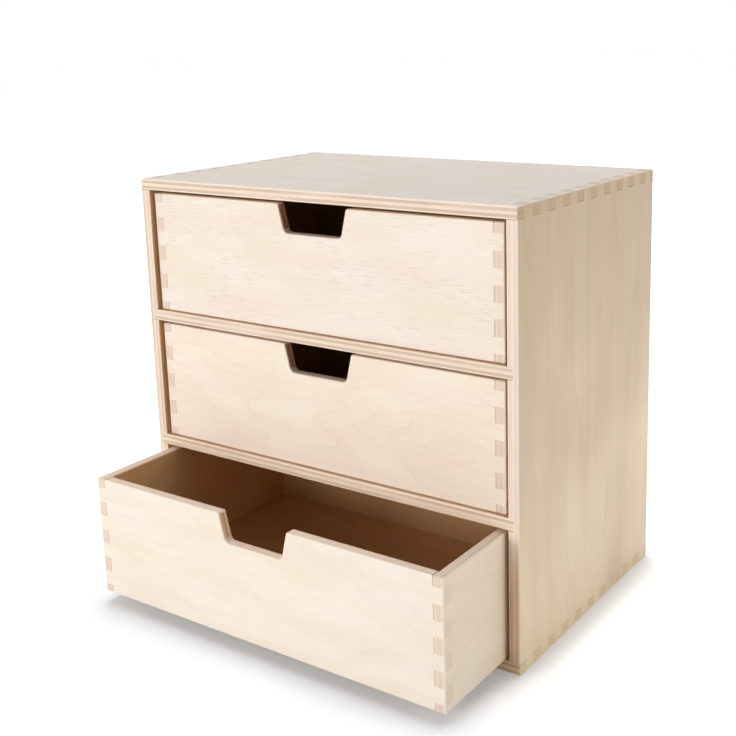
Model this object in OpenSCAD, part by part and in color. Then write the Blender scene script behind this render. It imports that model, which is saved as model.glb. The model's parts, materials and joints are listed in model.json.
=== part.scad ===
// Desktop mini drawers in birch plywood: a finger-jointed carcass with a back
// panel and two housed shelves, and three finger-jointed drawers that slide in
// it. Millimetres, +Z up, front towards -Y. The origin is the middle of the
// carcass's footprint, on the surface it stands on.

/* [Carcass] */
// Width across the outer faces of the two sides
carcass_w = 252; // [160:1:420]
// Depth from the front edges to the rear edges
carcass_d = 160; // [110:1:300]
// Clear height of each of the three bays
bay_h = 71.5; // [50:0.5:120]
// Thickness of the top, bottom, sides and shelves
board_t = 6.5; // [5:0.1:12]
// Thickness of the back panel
back_t = 3; // [2:0.1:5]
// How deep the shelves are housed in the sides
shelf_housing_d = 3.25; // [1.5:0.05:4]
// How far the rebate for the back panel reaches into each board
back_rebate_w = 3.25; // [1.5:0.05:4]

/* [Carcass joints] */
// Width of the fingers that join the top and bottom to the sides
carcass_finger_w = 7.9; // [5:0.1:14]
// Width of the first finger, at the front edge
carcass_first_finger_w = 6.4; // [3:0.1:12]

/* [Drawers] */
// Thickness of the drawer's front, back and sides
drawer_board_t = 6; // [4:0.1:9]
// Thickness of the drawer's bottom
drawer_bottom_t = 3; // [2:0.1:4]
// Depth of the groove that holds the drawer's bottom
groove_d = 3; // [1.5:0.1:3.5]
// Height of the bottom's underside above the lower edges
bottom_rise = 4; // [2:0.1:10]
// Width of the fingers at the drawer's corners
drawer_finger_w = 8.5; // [5:0.1:14]
// Width of the first finger, at the drawer's upper edge
drawer_first_finger_w = 5.3; // [3:0.1:12]

/* [Drawer fit] */
// Gap between the drawer and the carcass on each side
side_gap = 2; // [0.5:0.1:3]
// Gap between the drawer and the board above it
head_gap = 1.8; // [0.5:0.1:4]
// Running gap between the drawer and the board that carries it
running_gap = 0.3; // [0.2:0.1:1]
// How far a closed front stands back from the carcass's front edges
front_recess = 2; // [0:0.1:10]
// Gap between a closed drawer and the back panel
rear_gap = 0.5; // [0.3:0.1:5]

/* [Finger notch] */
// Width of the notch at the front's upper edge
notch_w = 46.5; // [30:0.5:80]
// Depth of the notch
notch_h = 16; // [10:0.5:25]
// Lean of the notch's sides from upright, in degrees
notch_lean = 14; // [5:1:20]
// Radius of the two lower corners
notch_corner_r = 3; // [1:0.1:5]
// Radius of the two upper corners
notch_lip_r = 1.2; // [0.5:0.1:2]

/* [Positions] */
// How far the top drawer is pulled out
top_drawer_out = 0; // [0:1:60]
// How far the middle drawer is pulled out
middle_drawer_out = 0; // [0:1:60]
// How far the bottom drawer is pulled out
bottom_drawer_out = 58; // [0:1:60]

/* [Hidden] */
$fn = 64;

// How far a cutter runs past the board it cuts
over = 1;
// How much larger a corner's circle is than its radius, so that it crosses the
// straight sides instead of only touching them
corner_lap = 0.001;
// The last finger of a row takes what is left, and is at least this wide
least_last_finger_w = 2;

birch_face = [0.93, 0.87, 0.77];
birch_side = [0.87, 0.79, 0.68];
birch_top = [0.90, 0.85, 0.80];
birch_thin = [0.84, 0.75, 0.62];

carcass_h = 3 * bay_h + 4 * board_t;
front_y = -carcass_d / 2;
rear_y = carcass_d / 2;
back_front_y = rear_y - back_t;
inner_w = carcass_w - 2 * board_t;

drawer_w = inner_w - 2 * side_gap;
drawer_h = bay_h - head_gap - running_gap;
drawer_d = carcass_d - back_t - front_recess - rear_gap;

// Height of the floor of bay 0 (bottom), 1 (middle) or 2 (top)
function bay_floor(bay) = board_t + bay * (bay_h + board_t);

// Number of full fingers between the first and the last. It is odd, so the
// first and the last finger of a row belong to the same board.
function full_fingers(length, first, width) =
    let (fits = floor((length - first - least_last_finger_w) / width))
    fits - (fits + 1) % 2;

// Where finger k of a row starts and ends, from 0 for the first finger
function finger_start(k, first, width) = k == 0 ? 0 : first + (k - 1) * width;
function finger_end(k, length, first, width) =
    k > full_fingers(length, first, width) ? length : first + k * width;

// The fingers of a row along +Y from y = 0, as blocks of a given section:
// parity 0 takes the first, third and so on, parity 1 the ones between
module finger_row(length, first, width, parity, section) {
    last = full_fingers(length, first, width) + 1;
    for (k = [parity : 2 : last]) {
        start = finger_start(k, first, width);
        end = finger_end(k, length, first, width);
        translate([0, start, 0])
            cube([section[0], end - start, section[1]]);
    }
}

// ---- carcass ----

// The corner fingers of the carcass, all four corners at once: parity 0
// belongs to the top and bottom, parity 1 to the sides. Each block runs past
// the outer faces, and inward by one board.
module carcass_fingers(parity) {
    section = [board_t + over, board_t + over];
    for (x = [-carcass_w / 2 - over, carcass_w / 2 - board_t],
         z = [-over, carcass_h - board_t])
        translate([x, front_y, z])
            finger_row(carcass_d, carcass_first_finger_w, carcass_finger_w, parity, section);
}

module upright_board(x) {
    translate([x, front_y, 0])
        cube([board_t, carcass_d, carcass_h]);
}

module level_board(z) {
    translate([-carcass_w / 2, front_y, z])
        cube([carcass_w, carcass_d, board_t]);
}

// The whole back panel, and the rebate it lies in
module back_block(past_rear = 0) {
    block_w = inner_w + 2 * back_rebate_w;
    block_h = carcass_h - 2 * board_t + 2 * back_rebate_w;
    translate([-block_w / 2, back_front_y, board_t - back_rebate_w])
        cube([block_w, back_t + past_rear, block_h]);
}

// A whole shelf above a bay, and the housings it lies in
module shelf_block(bay, past_front = 0) {
    block_w = inner_w + 2 * shelf_housing_d;
    translate([-block_w / 2, front_y - past_front, bay_floor(bay) + bay_h])
        cube([block_w, carcass_d - back_t + past_front, board_t]);
}

module level_panel(z) {
    difference() {
        level_board(z);
        carcass_fingers(1);
        back_block(over);
    }
}

module side_panel(x) {
    difference() {
        upright_board(x);
        carcass_fingers(0);
        back_block(over);
        shelf_block(0, over);
        shelf_block(1, over);
    }
}

module top_panel() {
    color(birch_top) level_panel(carcass_h - board_t);
}

module bottom_panel() {
    color(birch_face) level_panel(0);
}

module left_side() {
    color(birch_side) side_panel(-carcass_w / 2);
}

module right_side() {
    color(birch_side) side_panel(carcass_w / 2 - board_t);
}

module upper_shelf() {
    color(birch_face) shelf_block(1);
}

module lower_shelf() {
    color(birch_face) shelf_block(0);
}

module back_panel() {
    color(birch_thin) back_block();
}

// ---- drawers, drawn closed round x = 0, front face at y = 0, lower edge at z = 0 ----

// The corner fingers of a drawer, all four corners at once, counted from the
// upper edge down: parity 0 belongs to the sides, parity 1 to the front and back
module drawer_fingers(parity) {
    section = [drawer_board_t + over, drawer_board_t + over];
    for (x = [-drawer_w / 2 - over, drawer_w / 2 - drawer_board_t],
         y = [-over, drawer_d - drawer_board_t])
        translate([x, y + section[1], drawer_h])
            rotate([-90, 0, 0])
                mirror([0, 0, 1])
                    finger_row(drawer_h, drawer_first_finger_w, drawer_finger_w, parity, section);
}

// The whole drawer bottom, and the grooves it lies in
module bottom_block() {
    block_w = drawer_w - 2 * drawer_board_t + 2 * groove_d;
    block_d = drawer_d - 2 * drawer_board_t + 2 * groove_d;
    translate([-block_w / 2, drawer_board_t - groove_d, bottom_rise])
        cube([block_w, block_d, drawer_bottom_t]);
}

// One half of the notch, x >= 0, with the board's upper edge at y = 0. Both
// corners turn through the same angle, so their tangent lengths go by radius.
module half_notch_outline() {
    corner_angle = 90 + notch_lean;
    lower_run = notch_corner_r / tan(corner_angle / 2);
    lip_run = notch_lip_r / tan(corner_angle / 2);
    side_dir = [-sin(notch_lean), -cos(notch_lean)];
    top_x = notch_w / 2;
    lower = [top_x - notch_h * tan(notch_lean), -notch_h];
    lower_centre = [lower[0] - lower_run, -notch_h + notch_corner_r];
    lip_centre = [top_x + lip_run, -notch_lip_r];
    lip_side = [top_x, 0] + lip_run * side_dir;
    lower_side = lower - lower_run * side_dir;
    difference() {
        polygon([
            [0, over], [lip_centre[0], over], lip_centre, lip_side, lower_side,
            lower_centre, [lower_centre[0], -notch_h], [0, -notch_h],
        ]);
        translate(lip_centre) circle(notch_lip_r);
    }
    translate(lower_centre) circle(notch_corner_r + corner_lap);
}

module notch() {
    translate([0, drawer_board_t + over, drawer_h])
        rotate([90, 0, 0])
            linear_extrude(drawer_board_t + 2 * over)
                for (flip = [0, 1])
                    mirror([flip, 0]) half_notch_outline();
}

module drawer_end_board(y) {
    difference() {
        translate([-drawer_w / 2, y, 0])
            cube([drawer_w, drawer_board_t, drawer_h]);
        drawer_fingers(0);
        bottom_block();
    }
}

module drawer_front() {
    color(birch_face) difference() {
        drawer_end_board(0);
        notch();
    }
}

module drawer_back() {
    color(birch_face) drawer_end_board(drawer_d - drawer_board_t);
}

module drawer_side(x) {
    color(birch_side) difference() {
        translate([x, 0, 0])
            cube([drawer_board_t, drawer_d, drawer_h]);
        drawer_fingers(1);
        bottom_block();
    }
}

module drawer_left_side() {
    drawer_side(-drawer_w / 2);
}

module drawer_right_side() {
    drawer_side(drawer_w / 2 - drawer_board_t);
}

module drawer_bottom() {
    color(birch_thin) bottom_block();
}

// Puts a drawer's piece in its bay, pulled out by a length
module in_bay(bay, out) {
    translate([0, front_y + front_recess - out, bay_floor(bay) + running_gap])
        children();
}

module in_top_bay() {
    in_bay(2, top_drawer_out) children();
}

module in_middle_bay() {
    in_bay(1, middle_drawer_out) children();
}

module in_bottom_bay() {
    in_bay(0, bottom_drawer_out) children();
}

top_panel();
bottom_panel();
left_side();
right_side();
upper_shelf();
lower_shelf();
back_panel();
in_top_bay() drawer_front();  // top_drawer_front
in_top_bay() drawer_left_side();  // top_drawer_left_side
in_top_bay() drawer_right_side();  // top_drawer_right_side
in_top_bay() drawer_back();  // top_drawer_back
in_top_bay() drawer_bottom();  // top_drawer_bottom
in_middle_bay() drawer_front();  // middle_drawer_front
in_middle_bay() drawer_left_side();  // middle_drawer_left_side
in_middle_bay() drawer_right_side();  // middle_drawer_right_side
in_middle_bay() drawer_back();  // middle_drawer_back
in_middle_bay() drawer_bottom();  // middle_drawer_bottom
in_bottom_bay() drawer_front();  // bottom_drawer_front
in_bottom_bay() drawer_left_side();  // bottom_drawer_left_side
in_bottom_bay() drawer_right_side();  // bottom_drawer_right_side
in_bottom_bay() drawer_back();  // bottom_drawer_back
in_bottom_bay() drawer_bottom();  // bottom_drawer_bottom
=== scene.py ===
import json
import math

import bpy
from mathutils import Matrix, Vector

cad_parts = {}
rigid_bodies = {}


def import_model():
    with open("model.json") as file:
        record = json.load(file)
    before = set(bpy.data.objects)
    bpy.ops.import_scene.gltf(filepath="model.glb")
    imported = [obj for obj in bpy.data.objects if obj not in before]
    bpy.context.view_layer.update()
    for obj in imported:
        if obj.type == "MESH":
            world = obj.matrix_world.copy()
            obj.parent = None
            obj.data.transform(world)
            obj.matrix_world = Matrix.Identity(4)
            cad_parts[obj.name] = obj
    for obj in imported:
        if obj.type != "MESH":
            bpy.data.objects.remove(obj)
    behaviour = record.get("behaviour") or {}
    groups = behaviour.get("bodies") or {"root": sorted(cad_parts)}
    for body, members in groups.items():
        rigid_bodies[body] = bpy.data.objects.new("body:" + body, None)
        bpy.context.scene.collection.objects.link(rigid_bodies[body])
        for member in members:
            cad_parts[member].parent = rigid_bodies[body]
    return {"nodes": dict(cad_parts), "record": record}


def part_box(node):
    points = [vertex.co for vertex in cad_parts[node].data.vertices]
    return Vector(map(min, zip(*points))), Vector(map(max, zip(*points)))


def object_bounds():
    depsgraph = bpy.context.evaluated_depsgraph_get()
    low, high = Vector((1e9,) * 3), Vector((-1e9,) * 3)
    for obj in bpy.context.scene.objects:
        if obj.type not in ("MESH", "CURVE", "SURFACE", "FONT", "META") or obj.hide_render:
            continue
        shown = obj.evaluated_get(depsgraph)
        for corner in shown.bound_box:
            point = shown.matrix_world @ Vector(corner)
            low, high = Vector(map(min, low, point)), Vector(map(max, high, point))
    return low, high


for leftover in list(bpy.data.objects):
    bpy.data.objects.remove(leftover)
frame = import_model()
cad_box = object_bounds()

MM = 0.001
# The axes, and two of a body's outer planes by their place among left, right, front, back,
# bottom and top
X, Y, Z = 0, 1, 2
FRONT, TOP = 2, 5

# ---- camera: where it stands round the unit, in degrees and metres ----
CAMERA_AZIMUTH = 33.7
CAMERA_ELEVATION = 11.9
CAMERA_ROLL = -1.2
CAMERA_DISTANCE = 0.651
CAMERA_TARGET = Vector((0.0255, 0, 0.1845))
CAMERA_LENS = 55.0
CAMERA_SHIFT = (-0.09, -0.13)
CAMERA_CLIP = (0.01, 100)

# ---- light ----
AMBIENT = 0.16
# Each softbox's azimuth and elevation in degrees, its distance and size in metres, its strength,
# and whether it is mirrored in the wood
SOFTBOXES = {
    "key": (-14, 8, 1.8, 0.9, 0.715, True),
    "overhead": (210, 76, 1.4, 0.9, 0.54, True),
    "rear": (180, 5, 2.2, 0.9, 0.30, False),
    "left": (268, 6, 1.8, 0.9, 0.28, True),
    "fill": (93, -4, 0.6, 0.36, 0.405, True),
}

# ---- the floor ----
FLOOR_SIZE = 30
FLOOR_COLOUR = (0.87, 0.90, 0.93, 1)
# The floor's own light, which shows it white: under the unit, where it is lower as a painted
# contact shadow, round it, and beyond the lamps
FOOT_GLOW = 0.16
NEAR_GLOW = 0.47
FAR_GLOW = 0.85
# How near a thing has to be to cover the floor, in metres, and how much of the sky is open where
# it covers it fully and where it doesn't cover it at all. The cover lowers the floor's own light as
# a painted contact shadow
COVER_REACH = 0.025
COVER = (0.5, 0.92)
COVER_SAMPLES = 16
# Where the floor passes from near to far, in metres from the unit's middle
GLOW_REACH = (0.18, 0.65)
# The floor ahead of the drawers shows less of its own light, a painted shadow, and the floor beside
# the unit more, a painted light: along each axis, where that sets in and where it is full, in
# metres
AHEAD_PAINTED_SHADOW = -0.17
AHEAD_X = (0.15, 0.07)
AHEAD_Y = (-0.08, -0.15)
BESIDE_PAINTED_LIGHT = 0.08
BESIDE_X = (0.10, 0.15)
BESIDE_Y = (-0.11, -0.06)

# ---- the boards' plies and their eased edges ----
PLIES = 5
THIN_PLIES = 3
EASE = 0.8 * MM
EASE_SEGMENTS = 2
SAME_PLACE = 0.05 * MM
WELD_REACH = 0.001 * MM
FLAT_ANGLE = math.radians(0.5)
SHARP_ANGLE = math.radians(30)

# ---- sockets of the Mix node that a colour uses ----
MIX_AMOUNT, MIX_FIRST, MIX_SECOND = 0, 6, 7
MIX_COLOUR = 2


class Field:
    """A socket of a node tree. Operators on it add Math nodes to the tree."""

    def __init__(self, tree, socket):
        self.tree = tree
        self.socket = socket

    def out(self, name):
        """Another output of the same node."""
        return Field(self.tree, self.socket.node.outputs[name])

    def math(self, operation, *others):
        """A Math node on this field and the others, in that order."""
        return add(self.tree, "ShaderNodeMath", {"operation": operation}, (self, *others))

    def __add__(self, other):
        return self.math("ADD", other)

    def __sub__(self, other):
        return self.math("SUBTRACT", other)

    def __rsub__(self, other):
        return add(self.tree, "ShaderNodeMath", {"operation": "SUBTRACT"}, (other, self))

    def __mul__(self, other):
        return self.math("MULTIPLY", other)

    def __truediv__(self, other):
        return self.math("DIVIDE", other)

    def __mod__(self, other):
        return self.math("FLOORED_MODULO", other)

    def __lt__(self, other):
        return self.math("LESS_THAN", other)

    def __gt__(self, other):
        return self.math("GREATER_THAN", other)

    def __abs__(self):
        return self.math("ABSOLUTE")

    __radd__ = __add__
    __rmul__ = __mul__


def add(tree, kind, settings=None, inputs=(), output=0):
    """Adds a node: its settings first, then the values or links of its sockets."""
    node = tree.nodes.new(kind)
    for name, value in (settings or {}).items():
        setattr(node, name, value)
    for key, value in inputs.items() if isinstance(inputs, dict) else enumerate(inputs):
        if isinstance(value, Field):
            tree.links.new(value.socket, node.inputs[key])
        else:
            node.inputs[key].default_value = value
    return Field(tree, node.outputs[output]) if node.outputs else None


def mix(amount, first, second, blend="MIX"):
    """One colour into another, or times another; a colour is a socket or three numbers."""
    first, second = (c if isinstance(c, Field) else (*c, 1) for c in (first, second))
    settings = {"data_type": "RGBA", "blend_type": blend}
    inputs = {MIX_AMOUNT: amount, MIX_FIRST: first, MIX_SECOND: second}
    return add(amount.tree, "ShaderNodeMix", settings, inputs, MIX_COLOUR)


def ramp(value, low, high):
    """0 below low and 1 above high, with a smooth step between; high may be the lower one."""
    if low > high:
        return 1 - ramp(value, high, low)
    inputs = {"Value": value, "From Min": low, "From Max": high}
    return add(value.tree, "ShaderNodeMapRange", {"interpolation_type": "SMOOTHSTEP"}, inputs)


def noise(place, detail=1.0, roughness=0.5, distortion=0.0):
    """Noise between 0 and 1 at a place given as three values, the first of them a field."""
    tree = place[0].tree
    vector = add(tree, "ShaderNodeCombineXYZ", None, place)
    texture = {"Detail": detail, "Roughness": roughness, "Distortion": distortion}
    return add(tree, "ShaderNodeTexNoise", None, {"Vector": vector, "Scale": 1.0} | texture)


def srgb(red, green, blue):
    """A colour written as 0 to 255 values, in the linear numbers that Blender takes."""
    def linear(value):
        value /= 255
        return value / 12.92 if value <= 0.04045 else ((value + 0.055) / 1.055) ** 2.4

    return linear(red), linear(green), linear(blue)


def new_material(name):
    """An empty material and its node tree."""
    material = bpy.data.materials.new(name)
    material.use_nodes = True
    material.node_tree.nodes.clear()
    return material, material.node_tree


def outward(azimuth, elevation):
    """The way from the unit to something seen at these angles in degrees; azimuth 0 is in front."""
    around, up = math.radians(azimuth), math.radians(elevation)
    level = math.cos(up)
    return Vector((math.sin(around) * level, -math.cos(around) * level, math.sin(up)))


# ---- birch: colours of the face veneer and of the plies on an edge ----
PALE = srgb(246, 232, 217)
HONEY = srgb(243, 226, 206)
ROSE = srgb(243, 222, 210)
RING = srgb(222, 198, 173)
FLECK = srgb(212, 190, 167)
LONG_PLY = srgb(238, 215, 193)
END_PLY = srgb(233, 208, 186)
DARK_PLY = srgb(207, 179, 153)
FINGER_END = srgb(230, 208, 190)
GLUE_LINE = srgb(168, 138, 112)
# The tone of a board's faces
PLAIN = (0.955, 0.955, 0.955)
# BRIGHT, the bottom drawer's tone, is lighter as a painted light, because that drawer stands out
# into more light
BRIGHT = (0.97, 0.99, 0.99)
WARM = (0.995, 0.985, 0.955)
AMBER = (0.92, 0.85, 0.75)
# Tints and painted shade over the wood: on faces turned to left and right, low and high up, partly
# the veneer's tan and partly a painted warm shade that deepens upwards in place of the floor's
# bounce light, on the drawers a warm tint that is partly painted light; on faces turned up, a
# painted shade and a painted grey sheen; on the front's edges near the floor, a painted warm shade
# under the open drawer; on the notch's cut, a painted shade; inside, a painted warm shade; and how
# far the fingers' ends on the sides have taken the veneer's tone
CARCASS_TINTS_AND_SHADE = {
    "low": (0.965, 0.89, 0.71),
    "high": (0.73, 0.635, 0.48),
    "top": (0.85, 0.857, 0.88),
    "foot": (0.93, 0.84, 0.72),
    "notch": (1.0, 1.0, 1.0),
    "inside": (1.0, 0.79, 0.60),
    "ends": 0.15,
}
DRAWER_TINTS_AND_SHADE = {
    "low": (1.04, 0.985, 0.905),
    "high": (1.01, 0.955, 0.88),
    "top": (1.0, 1.0, 1.0),
    "foot": (1.0, 1.0, 1.0),
    "notch": (0.55, 0.36, 0.27),
    "inside": (0.80, 0.64, 0.44),
    "ends": 0.5,
}
# A lighter painted shade on the notch's cut of the bottom drawer, which stands open in more light
OPEN_NOTCH_SHADE = (0.97, 0.88, 0.78)

# ---- the face veneer's figure. A pair in millimetres is how long and how broad a streak is, and
# a pair of noise values is where it sets in and where it is full ----
BEND_SIZE = (150, 42)
RAGGED_SIZE = (16, 1.4)
PRESENCE_SIZE = (34, 15)
PRESENCE = (0.32, 0.62)
MOTTLE_SIZE = (45, 20)
MOTTLE = (0.35, 0.68)
BAND_SIZE = (90, 9)
BAND = (0.42, 0.66)
BAND_SHARE = 0.45
FIBRE_SIZE = (22, 0.55)
FIBRE = (0.45, 0.85)
FIBRE_SHARE = 0.11
DASH_SIZE = (10, 0.75)
DASH = (0.52, 0.70)
THICKET_SIZE = (40, 16)
THICKET = (0.30, 0.62)
CLOUD_SIZE = (100, 60)
# The growth lines: how many there are to the bend, how far they fray, and over one of them the
# broad shade, the thin line and the sharp start
RINGS = 13
RAGGEDNESS = 0.010
RING_SHADE = (0.6, 0.0)
RING_SHADE_SHARE = 0.4
RING_LINE = (0.14, 0.02)
RING_LINE_SHARE = 0.6
RING_START = (0.0, 0.03)
# How far the fibres stand up and the flecks lie deep, against each other
FIBRE_HEIGHT = 0.5
FLECK_DEPTH = 0.4

# ---- the cut edges, in the same way; a step is how far the noise moves on from ply to ply ----
CORE_SWELL = 0.05
TONE_SIZE = 70
TONE_STEP = 7.3
TONE = (0.32, 0.55)
STREAK_SIZE = 14
STREAK_STEP = 2.4
STREAK = (0.4, 0.75)
STREAK_SHARE = 0.4
PORE_SIZE = 0.5
PORE_STEP = 3.0
PORE = (0.45, 0.75)
PORE_SHARE = 0.2
# How far the notch's cut takes the dark end ply's colour, a painted shade
NOTCH_PAINTED_SHADE = 0.85
SOFT_EDGE_SHARE = 0.6
FINGER_SHARE = 0.65
# The glue lines: how far from a ply's middle, and how strongly they show, more on the fingers
GLUE = (0.40, 0.49)
GLUE_SHARE = 0.25
FINGER_GLUE_SHARE = 0.2
# The line round a finger, by its depth in the board
JOINT = (0.10, 0.04)
JOINT_SHARE = 0.5
PORE_HEIGHT = 0.5
GLUE_DEPTH = 0.5

# ---- which way a surface faces: where a part of its normal begins to count and counts in full ----
END_ON = (0.4, 0.8)
EDGE_ON = (0.3, 0.15)
TURNED = (0.5, 0.9)
SQUARE_ON = (0.94, 0.99)
FORWARD = (-0.5, -0.9)
NOTCH_SIDEWAYS = (0.94, 0.96)
NOTCH_UPWARD = (0.1, 0.2)

# ---- painted shade over a body: shares of its height, and how far clouds move them; a painted warm ----
# shade low on the front's edges, which also raises the plies' contrast there, and a painted warm
# shade that deepens up the sides ----
SHADED_FOOT = (0.33, 0.17)
SHADED_FOOT_CONTRAST = 0.6
SIDE_SHADE_RISE = (0.0, 0.75)
SIDE_SHADE_CLOUDS = 1.2

# ---- the sheen: a face's roughness, and what its relief and a cut edge add; and the relief ----
ROUGHNESS = 0.40
RELIEF_ROUGHNESS = 0.08
EDGE_ROUGHNESS = 0.22
RELIEF = 0.25
RELIEF_DEPTH = 0.1 * MM


def streaks(along, across, size, shift, detail=1.0, roughness=0.5, distortion=0.0, straight=1.0):
    """Noise drawn out along the grain, shifted by two numbers; size is in millimetres."""
    place = (along / (size[0] * straight) + shift[0], across / size[1] + shift[1], 0.0)
    return noise(place, detail, roughness, distortion)


def growth_lines(along, across, seed, straightness):
    """How dark the growth lines are: a shade and a line that start sharply, over and over."""
    bend = streaks(along, across, BEND_SIZE, (seed, 0), detail=1.5, roughness=0.45,
                   distortion=0.3, straight=straightness)
    ragged = streaks(along, across, RAGGED_SIZE, (seed, 0), detail=2.0)
    phase = ((bend + ragged * RAGGEDNESS) * RINGS) % 1.0
    presence = ramp(streaks(along, across, PRESENCE_SIZE, (0, seed)), *PRESENCE)
    shade = ramp(phase, *RING_SHADE) * RING_SHADE_SHARE
    line = ramp(phase, *RING_LINE) * RING_LINE_SHARE * presence
    return (shade + line) * ramp(phase, *RING_START)


def face_veneer(along, across, seed, figure, straightness, flecks):
    """The colour and the height of a rotary-cut birch face; lengths are in millimetres."""
    ring = growth_lines(along, across, seed, straightness)
    mottle = streaks(along, across, MOTTLE_SIZE, (0, seed), detail=2.0, straight=straightness)
    fibre = streaks(along, across, FIBRE_SIZE, (0, seed), detail=2.0, roughness=0.6)
    dash = streaks(along, across, DASH_SIZE, (seed, 0), roughness=0.4)
    thicket = streaks(along, across, THICKET_SIZE, (0, -seed))
    fleck = ramp(dash, *DASH) * ramp(thicket, *THICKET)
    band = streaks(along, across, BAND_SIZE, (0, seed), straight=straightness)
    colour = mix(ramp(mottle, *MOTTLE), PALE, HONEY)
    colour = mix(ramp(band, *BAND) * BAND_SHARE, colour, ROSE)
    colour = mix(ring * figure, colour, RING)
    colour = mix(fleck * flecks, colour, FLECK)
    colour = mix(ramp(fibre, *FIBRE) * FIBRE_SHARE, colour, RING)
    return colour, fibre * FIBRE_HEIGHT - fleck * FLECK_DEPTH


def ply_edge(along, across, depth, plies, end_on, notch, seed, contrast):
    """The colour and the height of a cut edge; depth runs 0 to 1 from the board's inner face."""
    finger = end_on * (1 - notch)
    swollen = depth + (depth * math.tau).math("SINE") * CORE_SWELL
    layer = swollen * plies
    number = layer.math("FLOOR")
    outer = 1 - number % 2.0
    end_grain = end_on * outer + (1 - end_on) * (1 - outer)
    toned = noise((number * TONE_STEP + seed, along / TONE_SIZE, across / TONE_SIZE))
    streak_place = (along / STREAK_SIZE + seed, across / STREAK_SIZE, layer * STREAK_STEP)
    streak = ramp(noise(streak_place, detail=2.0), *STREAK)
    pore_place = (along / PORE_SIZE, across / PORE_SIZE, layer * PORE_STEP + seed)
    pore = noise(pore_place, detail=2.0)
    glue = ramp(abs(layer - number - 0.5), *GLUE)
    long_ply = mix(streak * STREAK_SHARE, LONG_PLY, RING)
    # On the notch's cut the dark end ply stands in as painted shade
    darker = (ramp(toned, *TONE) * contrast).math("MAXIMUM", notch * NOTCH_PAINTED_SHADE)
    end_ply = mix(darker + ramp(pore, *PORE) * PORE_SHARE, END_PLY, DARK_PLY)
    colour = mix(end_grain, long_ply, end_ply)
    colour = mix((1 - end_on) * (1 - contrast) * SOFT_EDGE_SHARE, colour, PALE)
    colour = mix(finger * FINGER_SHARE, colour, FINGER_END)
    joint = ramp(depth, *JOINT) * finger
    lines = glue * (GLUE_SHARE + finger * FINGER_GLUE_SHARE) + joint * JOINT_SHARE
    return mix(lines, colour, GLUE_LINE), pore * PORE_HEIGHT - glue * GLUE_DEPTH


def body_box(body):
    """Lowest and highest corner of a CAD body's boards."""
    boxes = [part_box(node) for node in frame["record"]["behaviour"]["bodies"][body]]
    low = [min(box[0][axis] for box in boxes) for axis in (X, Y, Z)]
    high = [max(box[1][axis] for box in boxes) for axis in (X, Y, Z)]
    return low, high


def through_board(node, body, thickness, through, facing):
    """Depth in a board, 0 to 1 from its inner face, and how far a surface is turned inwards."""
    low, high = (corner[thickness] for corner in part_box(node))
    body_low, body_high = (corner[thickness] for corner in body_box(body))
    depth = (through - low / MM) / ((high - low) / MM)
    turned = facing.out("XYZ"[thickness])
    if high > body_high - SAME_PLACE:
        return depth, turned * -1
    if low < body_low + SAME_PLACE:
        return 1 - depth, turned
    return depth, abs(turned)


def birch_board(node, body, grain, thickness, plies, seed, figure, straightness, flecks,
                contrast, tone, tints_and_shade):
    """Birch plywood for one board, with its face grain, its plies and its own figure."""
    material, tree = new_material("birch_" + node)
    coordinates = add(tree, "ShaderNodeTexCoord", output="Object")
    place = add(tree, "ShaderNodeSeparateXYZ", None, [coordinates])
    facing = add(tree, "ShaderNodeSeparateXYZ", None, [coordinates.out("Normal")])
    places = [place.out(name) / MM for name in "XYZ"]
    facings = [abs(facing.out(name)) for name in "XYZ"]
    width = ({X, Y, Z} - {grain, thickness}).pop()
    along, across, through = places[grain], places[width], places[thickness]
    depth, inward = through_board(node, body, thickness, through, facing)
    body_low, body_high = (corner[Z] / MM for corner in body_box(body))
    lift = (places[Z] - body_low) / (body_high - body_low)

    end_on = ramp(facings[grain], *END_ON)
    on_edge = ramp(facings[thickness], *EDGE_ON)
    sideways = ramp(facings[X], *TURNED)
    # The front low down, where a painted warm shade goes
    foot = ramp(lift, *SHADED_FOOT) * ramp(facing.out("Y"), *FORWARD)
    notch = ramp(facings[X], *NOTCH_SIDEWAYS) * ramp(facing.out("Z"), *NOTCH_UPWARD)

    face_colour, face_height = face_veneer(along, across, seed, figure, straightness, flecks)
    # Painted shade: the plies show more contrast low on the front, as they do in shade
    edge_contrast = contrast + foot * SHADED_FOOT_CONTRAST
    edge_colour, edge_height = ply_edge(along, across, depth, plies, end_on, notch, seed,
                                        edge_contrast)
    wood = mix(on_edge, face_colour, edge_colour)
    wood = mix(ramp(facings[thickness], *SQUARE_ON), wood, tone, "MULTIPLY")
    wood = mix(end_on * sideways * (1 - notch) * tints_and_shade["ends"], wood, PALE)
    # Painted shade: a warm shade deepening up the sides, with a partly painted light on the
    # drawers' sides; a dimmer, greyer top as painted shade and sheen; and painted shade on the
    # front's foot, on the notch's cut and on faces turned inwards
    cloud = streaks(along, across, CLOUD_SIZE, (seed, 0))
    risen = ramp(lift + (cloud - 0.5) * SIDE_SHADE_CLOUDS, *SIDE_SHADE_RISE)
    wood = mix(sideways, wood, mix(risen, tints_and_shade["low"], tints_and_shade["high"]), "MULTIPLY")
    wood = mix(ramp(facing.out("Z"), *SQUARE_ON), wood, tints_and_shade["top"], "MULTIPLY")
    wood = mix(foot, wood, tints_and_shade["foot"], "MULTIPLY")
    wood = mix(notch, wood, tints_and_shade["notch"], "MULTIPLY")
    wood = mix(ramp(inward, *TURNED), wood, tints_and_shade["inside"], "MULTIPLY")

    height = face_height + (edge_height - face_height) * on_edge
    relief = {"Strength": RELIEF, "Distance": RELIEF_DEPTH, "Height": height}
    bump = add(tree, "ShaderNodeBump", None, relief)
    roughness = ROUGHNESS + face_height * RELIEF_ROUGHNESS + on_edge * EDGE_ROUGHNESS
    finish = {"Base Color": wood, "Roughness": roughness, "Normal": bump}
    shader = add(tree, "ShaderNodeBsdfPrincipled", None, finish)
    add(tree, "ShaderNodeOutputMaterial", None, {"Surface": shader})
    return material


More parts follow.
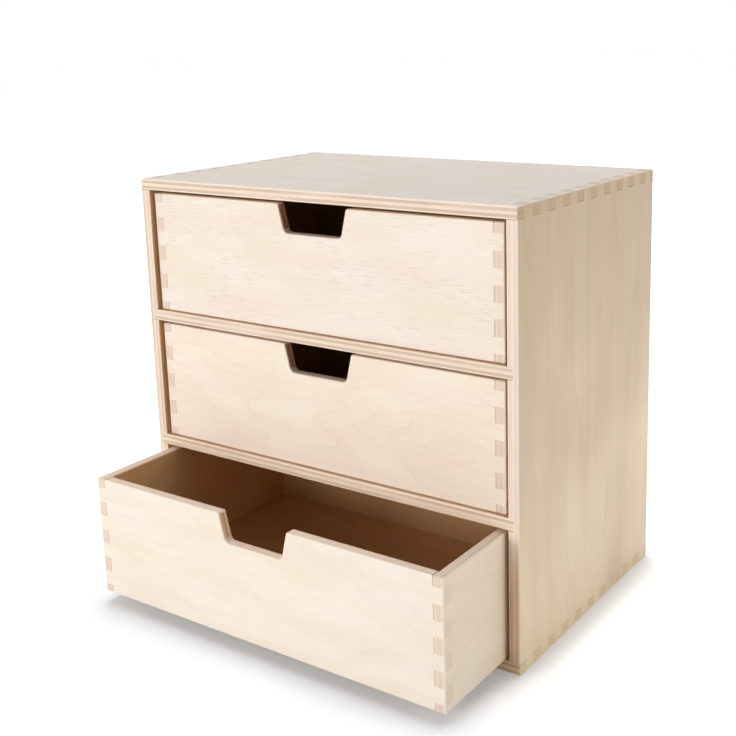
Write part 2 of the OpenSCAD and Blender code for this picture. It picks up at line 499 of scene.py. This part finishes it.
def easing(body, inner_edges):
    """Node group that marks the edges of a body's boards that are sanded round: those on two
    of its outer planes, and those that inner_edges picks."""
    group = bpy.data.node_groups.new("ease_" + body, "GeometryNodeTree")
    for direction in ("INPUT", "OUTPUT"):
        group.interface.new_socket("Geometry", in_out=direction, socket_type="NodeSocketGeometry")
    geometry = add(group, "NodeGroupInput")
    ends = add(group, "GeometryNodeInputMeshEdgeVertices", output="Position 1")
    far_ends = add(group, "ShaderNodeSeparateXYZ", None, [ends.out("Position 2")])
    near_ends = add(group, "ShaderNodeSeparateXYZ", None, [ends])
    middle = [(near_ends.out(name) + far_ends.out(name)) / 2 for name in "XYZ"]
    low, high = body_box(body)
    sides = [abs(middle[axis] - plane[axis]) < SAME_PLACE
             for axis in (X, Y, Z) for plane in (low, high)]
    on_two_planes = sum(sides[1:], sides[0]) > 1.5
    sharp = add(group, "GeometryNodeInputMeshEdgeAngle") > SHARP_ANGLE
    eased = sharp * on_two_planes.math("MAXIMUM", inner_edges(middle, sides, low, high))
    marked = add(group, "GeometryNodeStoreNamedAttribute",
                 {"data_type": "FLOAT", "domain": "EDGE"},
                 {"Geometry": geometry, "Name": "bevel_weight_edge", "Value": eased})
    flat_shaded = add(group, "GeometryNodeRemoveAttribute", None,
                      {"Geometry": marked, "Name": "custom_normal"})
    add(group, "NodeGroupOutput", None, [flat_shaded])
    return group


def drawer_inner_edges(middle, sides, low, high):
    """The rim's inner edges and the notch's edges, away from the corner joints."""
    side_low, side_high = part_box("top_drawer_left_side")
    board = side_high[X] - side_low[X]
    beside_joint = abs(middle[X]) < high[X] - board + SAME_PLACE
    between = (middle[Y] > low[Y] + board / 2) * (middle[Y] < high[Y] - board / 2)
    rim = sides[TOP] * beside_joint * between
    outline = abs(middle[X]) < 0.5 * (high[X] - board)
    front_inside = abs(middle[Y] - (low[Y] + board)) < SAME_PLACE
    return rim.math("MAXIMUM", outline * sides[FRONT].math("MAXIMUM", front_inside))


def carcass_inner_edges(middle, sides, low, high):
    """The edges round the bays, on the carcass's front."""
    shelf_low, shelf_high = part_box("upper_shelf")
    board = shelf_high[Z] - shelf_low[Z]
    inside = abs(middle[X]) < high[X] - board + SAME_PLACE
    return sides[FRONT] * inside


def ease_edges(node, group):
    """Merges a board's flat triangles and rounds the edges that the group marks."""
    board = frame["nodes"][node]
    board.modifiers.new("weld", "WELD").merge_threshold = WELD_REACH
    flat = board.modifiers.new("flat_faces", "DECIMATE")
    flat.decimate_type = "DISSOLVE"
    flat.angle_limit = FLAT_ANGLE
    board.modifiers.new("mark", "NODES").node_group = group
    bevel = board.modifiers.new("ease", "BEVEL")
    bevel.limit_method = "WEIGHT"
    bevel.width = EASE
    bevel.segments = EASE_SEGMENTS
    bevel.use_clamp_overlap = False


def finish_boards():
    """Gives every CAD node its birch and its eased edges."""
    # Each board's grain and thickness axes, plies, seed, growth lines, straightness, flecks, the
    # contrast of its plies, tone, and tints with painted shade
    boards = {
        "top_panel": (X, Z, PLIES, 11.3, 0.1, 1.5, 0.15, 0.9, PLAIN, CARCASS_TINTS_AND_SHADE),
        "bottom_panel": (X, Z, PLIES, 17.9, 0.3, 1.5, 0.3, 0.9, PLAIN, CARCASS_TINTS_AND_SHADE),
        "left_side": (Z, X, PLIES, 23.1, 0.3, 3, 0.25, 0.8, PLAIN, CARCASS_TINTS_AND_SHADE),
        "right_side": (Z, X, PLIES, 31.7, 0.3, 3, 0.25, 0.3, PLAIN, CARCASS_TINTS_AND_SHADE),
        "upper_shelf": (X, Z, PLIES, 37.3, 0.3, 1.5, 0.3, 0.9, PLAIN, CARCASS_TINTS_AND_SHADE),
        "lower_shelf": (X, Z, PLIES, 41.9, 0.3, 1.5, 0.3, 0.9, PLAIN, CARCASS_TINTS_AND_SHADE),
        "back_panel": (Z, Y, THIN_PLIES, 47.1, 0.4, 1.5, 0.3, 0.8, AMBER, CARCASS_TINTS_AND_SHADE),
    }
    # Each drawer's seed, its front's growth lines and flecks, its tone, with a painted light on the
    # bottom drawer, and its front's tints and painted shade
    drawers = {
        "top": (60.0, 0.10, 0.38, PLAIN, DRAWER_TINTS_AND_SHADE),
        "middle": (89.7, 0.24, 0.18, WARM, DRAWER_TINTS_AND_SHADE),
        "bottom": (119.4, 0.16, 0.15, BRIGHT, DRAWER_TINTS_AND_SHADE | {"notch": OPEN_NOTCH_SHADE}),
    }
    for name, (seed, figure, flecks, tone, tints_and_shade) in drawers.items():
        drawer = {
            "front": (X, Y, PLIES, seed, figure, 1.2, flecks, 0.4, tone, tints_and_shade),
            "back": (X, Y, PLIES, seed + 5.3, 0.3, 1.2, 0.3, 0.4, AMBER, DRAWER_TINTS_AND_SHADE),
            "left_side": (Y, X, PLIES, seed + 9.1, 0.25, 1.5, 0.25, 0.4, tone, DRAWER_TINTS_AND_SHADE),
            "right_side": (Y, X, PLIES, seed + 13.7, 0.2, 1.5, 0.25, 0.4, tone, DRAWER_TINTS_AND_SHADE),
            "bottom": (X, Z, THIN_PLIES, seed + 17.9, 0.35, 1.5, 0.3, 0.4, AMBER, DRAWER_TINTS_AND_SHADE),
        }
        boards |= {f"{name}_drawer_{part}": board for part, board in drawer.items()}
    for body, nodes in frame["record"]["behaviour"]["bodies"].items():
        inner_edges = carcass_inner_edges if body == "carcass" else drawer_inner_edges
        group = easing(body, inner_edges)
        for node in nodes:
            board = frame["nodes"][node]
            board.data.materials.clear()
            board.data.materials.append(birch_board(node, body, *boards[node]))
            ease_edges(node, group)


def seen(tree):
    """1 for rays that show a surface to the camera, straight or in gloss or glass, else 0."""
    path = add(tree, "ShaderNodeLightPath", output="Is Camera Ray")
    shown = path.math("MAXIMUM", path.out("Is Glossy Ray"))
    return shown.math("MAXIMUM", path.out("Is Transmission Ray"))


def floor_glow(tree):
    """How strong the floor's own light is: lowered where the unit covers the floor and ahead of the
    drawers, and raised beside the unit, it paints shadow and light round the unit's real shadow.
    """
    place = add(tree, "ShaderNodeTexCoord", output="Object")
    spot = add(tree, "ShaderNodeSeparateXYZ", None, [place])
    away = add(tree, "ShaderNodeVectorMath", {"operation": "LENGTH"}, [place], "Value")
    # Painted shadow ahead of the drawers and painted light beside the unit
    ahead = ramp(spot.out("Y"), *AHEAD_Y) * ramp(spot.out("X"), *AHEAD_X)
    beside = ramp(spot.out("X"), *BESIDE_X) * ramp(spot.out("Y"), *BESIDE_Y)
    near = NEAR_GLOW + ahead * AHEAD_PAINTED_SHADOW + beside * BESIDE_PAINTED_LIGHT
    # Painted contact shadow: the floor's own light drops where the unit covers it
    sky = add(tree, "ShaderNodeAmbientOcclusion", {"samples": COVER_SAMPLES},
              {"Distance": COVER_REACH}, "AO")
    glow = FOOT_GLOW + ramp(sky, *COVER) * (near - FOOT_GLOW)
    return glow + ramp(away, *GLOW_REACH) * (FAR_GLOW - NEAR_GLOW)


def make_floor():
    """A wide pale floor that shows white, keeps the unit's shadow and adds painted shadow round it.
    """
    material, tree = new_material("studio_floor")
    plain = add(tree, "ShaderNodeBsdfDiffuse", None, {"Color": FLOOR_COLOUR})
    strength = seen(tree) * floor_glow(tree)
    glow = add(tree, "ShaderNodeEmission", None, {"Strength": strength})
    both = add(tree, "ShaderNodeAddShader", None, [plain, glow])
    add(tree, "ShaderNodeOutputMaterial", None, {"Surface": both})
    bpy.ops.mesh.primitive_plane_add(size=FLOOR_SIZE)
    floor = bpy.context.object
    floor.name = "floor"
    floor.data.materials.append(material)


def make_world():
    """Even white light from all round; the camera sees plain white."""
    world = bpy.data.worlds.new("studio")
    bpy.context.scene.world = world
    world.use_nodes = True
    tree = world.node_tree
    tree.nodes.clear()
    sky = {"Color": (1, 1, 1, 1), "Strength": AMBIENT + seen(tree) * (1 - AMBIENT)}
    background = add(tree, "ShaderNodeBackground", None, sky)
    add(tree, "ShaderNodeOutputWorld", None, {"Surface": background})


def make_softbox(name, azimuth, elevation, distance, size, strength, mirrored):
    """A square softbox that looks at the unit's middle."""
    data = bpy.data.lights.new(name, "AREA")
    data.size = size
    # At this power a white surface that faces the softbox shows the strength given
    data.energy = strength * (math.pi * distance) ** 2
    light = bpy.data.objects.new(name, data)
    light.visible_camera = False
    light.visible_glossy = mirrored
    bpy.context.scene.collection.objects.link(light)
    way = outward(azimuth, elevation)
    middle = (cad_box[0] + cad_box[1]) / 2
    light.location = middle + way * distance
    light.rotation_mode = "QUATERNION"
    light.rotation_quaternion = (-way).to_track_quat("-Z", "Y")


def make_camera():
    """The camera, turned a little about its own axis."""
    data = bpy.data.cameras.new("camera")
    data.lens = CAMERA_LENS
    data.shift_x, data.shift_y = CAMERA_SHIFT
    data.clip_start, data.clip_end = CAMERA_CLIP
    camera = bpy.data.objects.new("camera", data)
    bpy.context.scene.collection.objects.link(camera)
    back = outward(CAMERA_AZIMUTH, CAMERA_ELEVATION)
    right = outward(CAMERA_AZIMUTH + 90, 0)
    turn = Matrix((right, back.cross(right), back)).transposed().to_4x4()
    roll = Matrix.Rotation(math.radians(CAMERA_ROLL), 4, "Z")
    camera.matrix_world = Matrix.Translation(CAMERA_TARGET + back * CAMERA_DISTANCE) @ turn @ roll
    bpy.context.scene.camera = camera


finish_boards()
make_floor()
make_world()
for softbox, settings in SOFTBOXES.items():
    make_softbox(softbox, *settings)
make_camera()
bpy.context.scene.view_settings.view_transform = "Standard"
